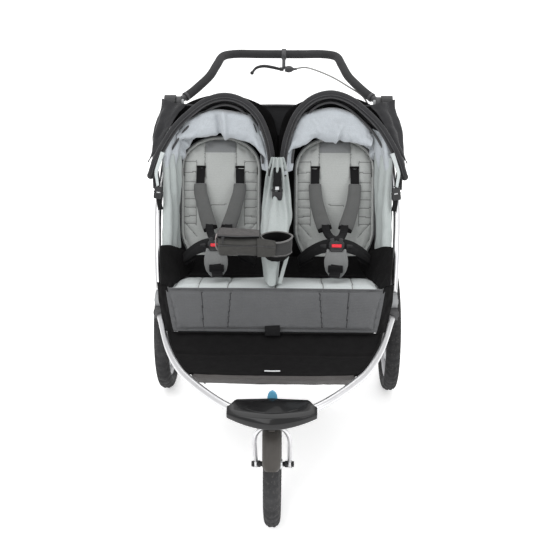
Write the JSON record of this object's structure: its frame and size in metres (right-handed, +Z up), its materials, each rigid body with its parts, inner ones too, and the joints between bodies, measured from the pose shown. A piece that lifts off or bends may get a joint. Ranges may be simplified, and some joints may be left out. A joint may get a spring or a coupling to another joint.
{
  "type": "jogging stroller",
  "caption": "Side-by-side jogging stroller: folding tube frame, padded seats with harnesses, hoods, swivelling front wheel, spoked rear wheels, cargo basket and a handlebar with a hand brake.",
  "frame": {"origin": "on the floor, under the middle of the overall box", "axes": "+Z up, -Y towards the front wheel, +X to the right as seen from the front; left and right in the names are also as seen from the front"},
  "size_m": [0.776, 1.144, 1.0435],
  "materials": {
    "frame_metal": "satin anodised tube",
    "black_plastic": "fine moulded texture",
    "gloss_plastic": "glossy moulded shell",
    "hinge_grey": "satin moulded",
    "lever_metal": "black painted",
    "handlebar_metal": "black painted tube",
    "grip_foam": "soft closed foam",
    "tyre_rubber": "matte rubber with tread",
    "wheel_grey": "rim, spokes and hub",
    "fender_plastic": "satin moulded",
    "seat_light": "padded woven polyester",
    "seat_pale": "padded woven polyester",
    "seat_dark": "padded woven polyester",
    "hood_fabric": "coated woven polyester",
    "black_mesh": "open knitted mesh and coated fabric",
    "cable_jacket": "ribbed cable jacket",
    "lock_blue": "glossy moulded",
    "buckle_red": "glossy moulded"
  },
  "bodies": {
    "base": {"front_tube_left": "frame_metal", "front_tube_right": "frame_metal", "rear_frame": "frame_metal", "hinge_lower_left": "black_plastic", "hinge_lower_right": "black_plastic", "nose_housing": "gloss_plastic", "seat_bench": "seat_pale", "calf_panel": "seat_dark", "footwell": "black_mesh", "cargo_basket": "black_mesh", "side_panel_left": "black_mesh", "side_panel_right": "black_mesh", "seat_divider": "seat_pale", "snack_tray": "hood_fabric", "brake_cable_lower": "cable_jacket"},
    "crotch_strap_left": {"crotch_pad_left": "seat_dark"},
    "crotch_strap_right": {"crotch_pad_right": "seat_dark"},
    "buckle_button_body_left": {"buckle_button_left": "buckle_red"},
    "buckle_button_body_right": {"buckle_button_right": "buckle_red"},
    "front_caster": {"fork": "frame_metal", "front_fender": "fender_plastic", "front_axle": "black_plastic"},
    "front_wheel_body": {"front_tyre": "tyre_rubber", "front_wheel": "wheel_grey"},
    "swivel_lock": {"swivel_lock_lever": "lock_blue"},
    "rear_wheel_body_left": {"rear_tyre_left": "tyre_rubber", "rear_wheel_left": "wheel_grey"},
    "rear_wheel_body_right": {"rear_tyre_right": "tyre_rubber", "rear_wheel_right": "wheel_grey"},
    "wheel_release_left": {"wheel_button_left": "hinge_grey"},
    "wheel_release_right": {"wheel_button_right": "hinge_grey"},
    "parking_brake": {"parking_brake_pedal": "black_plastic"},
    "upper_frame": {"upper_tube_left": "frame_metal", "upper_tube_right": "frame_metal", "hinge_upper_left": "hinge_grey", "hinge_upper_right": "hinge_grey", "shoulder_hub_left": "black_plastic", "shoulder_hub_right": "black_plastic", "side_wing_left": "seat_light", "side_wing_right": "seat_light", "rear_panel": "hood_fabric", "canopy_clamp_left": "black_plastic", "canopy_clamp_right": "black_plastic", "canopy_clamp_center": "black_plastic", "brake_cable_frame": "cable_jacket"},
    "handlebar": {"handlebar_tube": "handlebar_metal", "handlebar_grip": "grip_foam", "brake_lever_bracket": "black_plastic", "brake_cable_handlebar": "cable_jacket"},
    "brake_lever_body": {"brake_lever": "lever_metal"},
    "adjust_button_body_left": {"adjust_button_left": "hinge_grey"},
    "adjust_button_body_right": {"adjust_button_right": "hinge_grey"},
    "recline_left": {"seat_back_left": "seat_light", "harness_left": "seat_dark"},
    "recline_right": {"seat_back_right": "seat_light", "harness_right": "seat_dark"},
    "hood_left": {"canopy_bow_left": "black_plastic", "canopy_fabric_left": "hood_fabric"},
    "hood_right": {"canopy_bow_right": "black_plastic", "canopy_fabric_right": "hood_fabric"}
  },
  "joints": [
    {"name": "frame_fold", "type": "hinge", "parent": "base", "child": "upper_frame", "pos_m": [0, 0, 0.43], "axis": [1, 0, 0], "range_deg": [0, 105], "deforming": ["seat_divider", "snack_tray", "side_panel_left", "side_panel_right", "harness_left", "harness_right"]},
    {"name": "handlebar_angle", "type": "hinge", "parent": "upper_frame", "child": "handlebar", "pos_m": [0, 0.32, 0.925], "axis": [1, 0, 0], "range_deg": [-50, 40]},
    {"name": "brake_lever_pull", "type": "hinge", "parent": "handlebar", "child": "brake_lever_body", "pos_m": [0.008, 0.515, 0.988], "axis": [0, 0.7041, -0.7101], "range_deg": [0, 16], "stiffness_Nm_per_rad": 0.6, "springref_deg": -5.73},
    {"name": "adjust_button_press_left", "type": "slide", "parent": "handlebar", "child": "adjust_button_body_left", "axis": [-1, 0, 0], "range_m": [0, 0.004], "stiffness_N_per_m": 400, "springref_m": -0.001},
    {"name": "adjust_button_press_right", "type": "slide", "parent": "handlebar", "child": "adjust_button_body_right", "axis": [1, 0, 0], "range_m": [0, 0.004], "stiffness_N_per_m": 400, "springref_m": -0.001},
    {"name": "seat_recline_left", "type": "hinge", "parent": "upper_frame", "child": "recline_left", "pos_m": [-0.166, 0.125, 0.462], "axis": [1, 0, 0], "range_deg": [-40, 0]},
    {"name": "seat_recline_right", "type": "hinge", "parent": "upper_frame", "child": "recline_right", "pos_m": [0.166, 0.125, 0.462], "axis": [1, 0, 0], "range_deg": [-40, 0]},
    {"name": "canopy_open_left", "type": "hinge", "parent": "upper_frame", "child": "hood_left", "pos_m": [-0.188, 0.175, 0.745], "axis": [-1, 0, 0], "range_deg": [-85, 0], "deforming": ["canopy_fabric_left"]},
    {"name": "canopy_open_right", "type": "hinge", "parent": "upper_frame", "child": "hood_right", "pos_m": [0.188, 0.175, 0.745], "axis": [-1, 0, 0], "range_deg": [-85, 0], "deforming": ["canopy_fabric_right"]},
    {"name": "rear_wheel_spin_left", "type": "hinge", "parent": "base", "child": "rear_wheel_body_left", "pos_m": [-0.3525, 0.335, 0.2], "axis": [1, 0, 0], "continuous": true},
    {"name": "wheel_release_press_left", "type": "slide", "parent": "rear_wheel_body_left", "child": "wheel_release_left", "axis": [1, 0, 0], "range_m": [0, 0.004], "stiffness_N_per_m": 400, "springref_m": -0.001},
    {"name": "rear_wheel_spin_right", "type": "hinge", "parent": "base", "child": "rear_wheel_body_right", "pos_m": [0.3525, 0.335, 0.2], "axis": [1, 0, 0], "continuous": true},
    {"name": "wheel_release_press_right", "type": "slide", "parent": "rear_wheel_body_right", "child": "wheel_release_right", "axis": [-1, 0, 0], "range_m": [0, 0.004], "stiffness_N_per_m": 400, "springref_m": -0.001},
    {"name": "caster_swivel", "type": "hinge", "parent": "base", "child": "front_caster", "pos_m": [0, -0.495, 0.313], "axis": [0, 0, 1], "continuous": true},
    {"name": "front_wheel_spin", "type": "hinge", "parent": "front_caster", "child": "front_wheel_body", "pos_m": [0, -0.415, 0.157], "axis": [1, 0, 0], "continuous": true},
    {"name": "swivel_lock_turn", "type": "hinge", "parent": "base", "child": "swivel_lock", "pos_m": [0, -0.441, 0.3535], "axis": [1, 0, 0], "range_deg": [-50, 0]},
    {"name": "parking_brake_press", "type": "hinge", "parent": "base", "child": "parking_brake", "pos_m": [0, 0.335, 0.2], "axis": [1, 0, 0], "range_deg": [-20, 0]},
    {"name": "crotch_strap_fold_left", "type": "hinge", "parent": "base", "child": "crotch_strap_left", "pos_m": [-0.166, -0.008, 0.5], "axis": [1, 0, 0], "range_deg": [0, 72]},
    {"name": "buckle_button_press_left", "type": "slide", "parent": "crotch_strap_left", "child": "buckle_button_body_left", "axis": [0, 1, 0], "range_m": [0, 0.002], "stiffness_N_per_m": 300, "springref_m": -0.001},
    {"name": "crotch_strap_fold_right", "type": "hinge", "parent": "base", "child": "crotch_strap_right", "pos_m": [0.166, -0.008, 0.5], "axis": [1, 0, 0], "range_deg": [0, 72]},
    {"name": "buckle_button_press_right", "type": "slide", "parent": "crotch_strap_right", "child": "buckle_button_body_right", "axis": [0, 1, 0], "range_m": [0, 0.002], "stiffness_N_per_m": 300, "springref_m": -0.001}
  ],
  "couplings": [
    {"joint": "crotch_strap_fold_left", "follows": "frame_fold", "ratio": 0.6857},
    {"joint": "crotch_strap_fold_right", "follows": "frame_fold", "ratio": 0.6857}
  ]
}
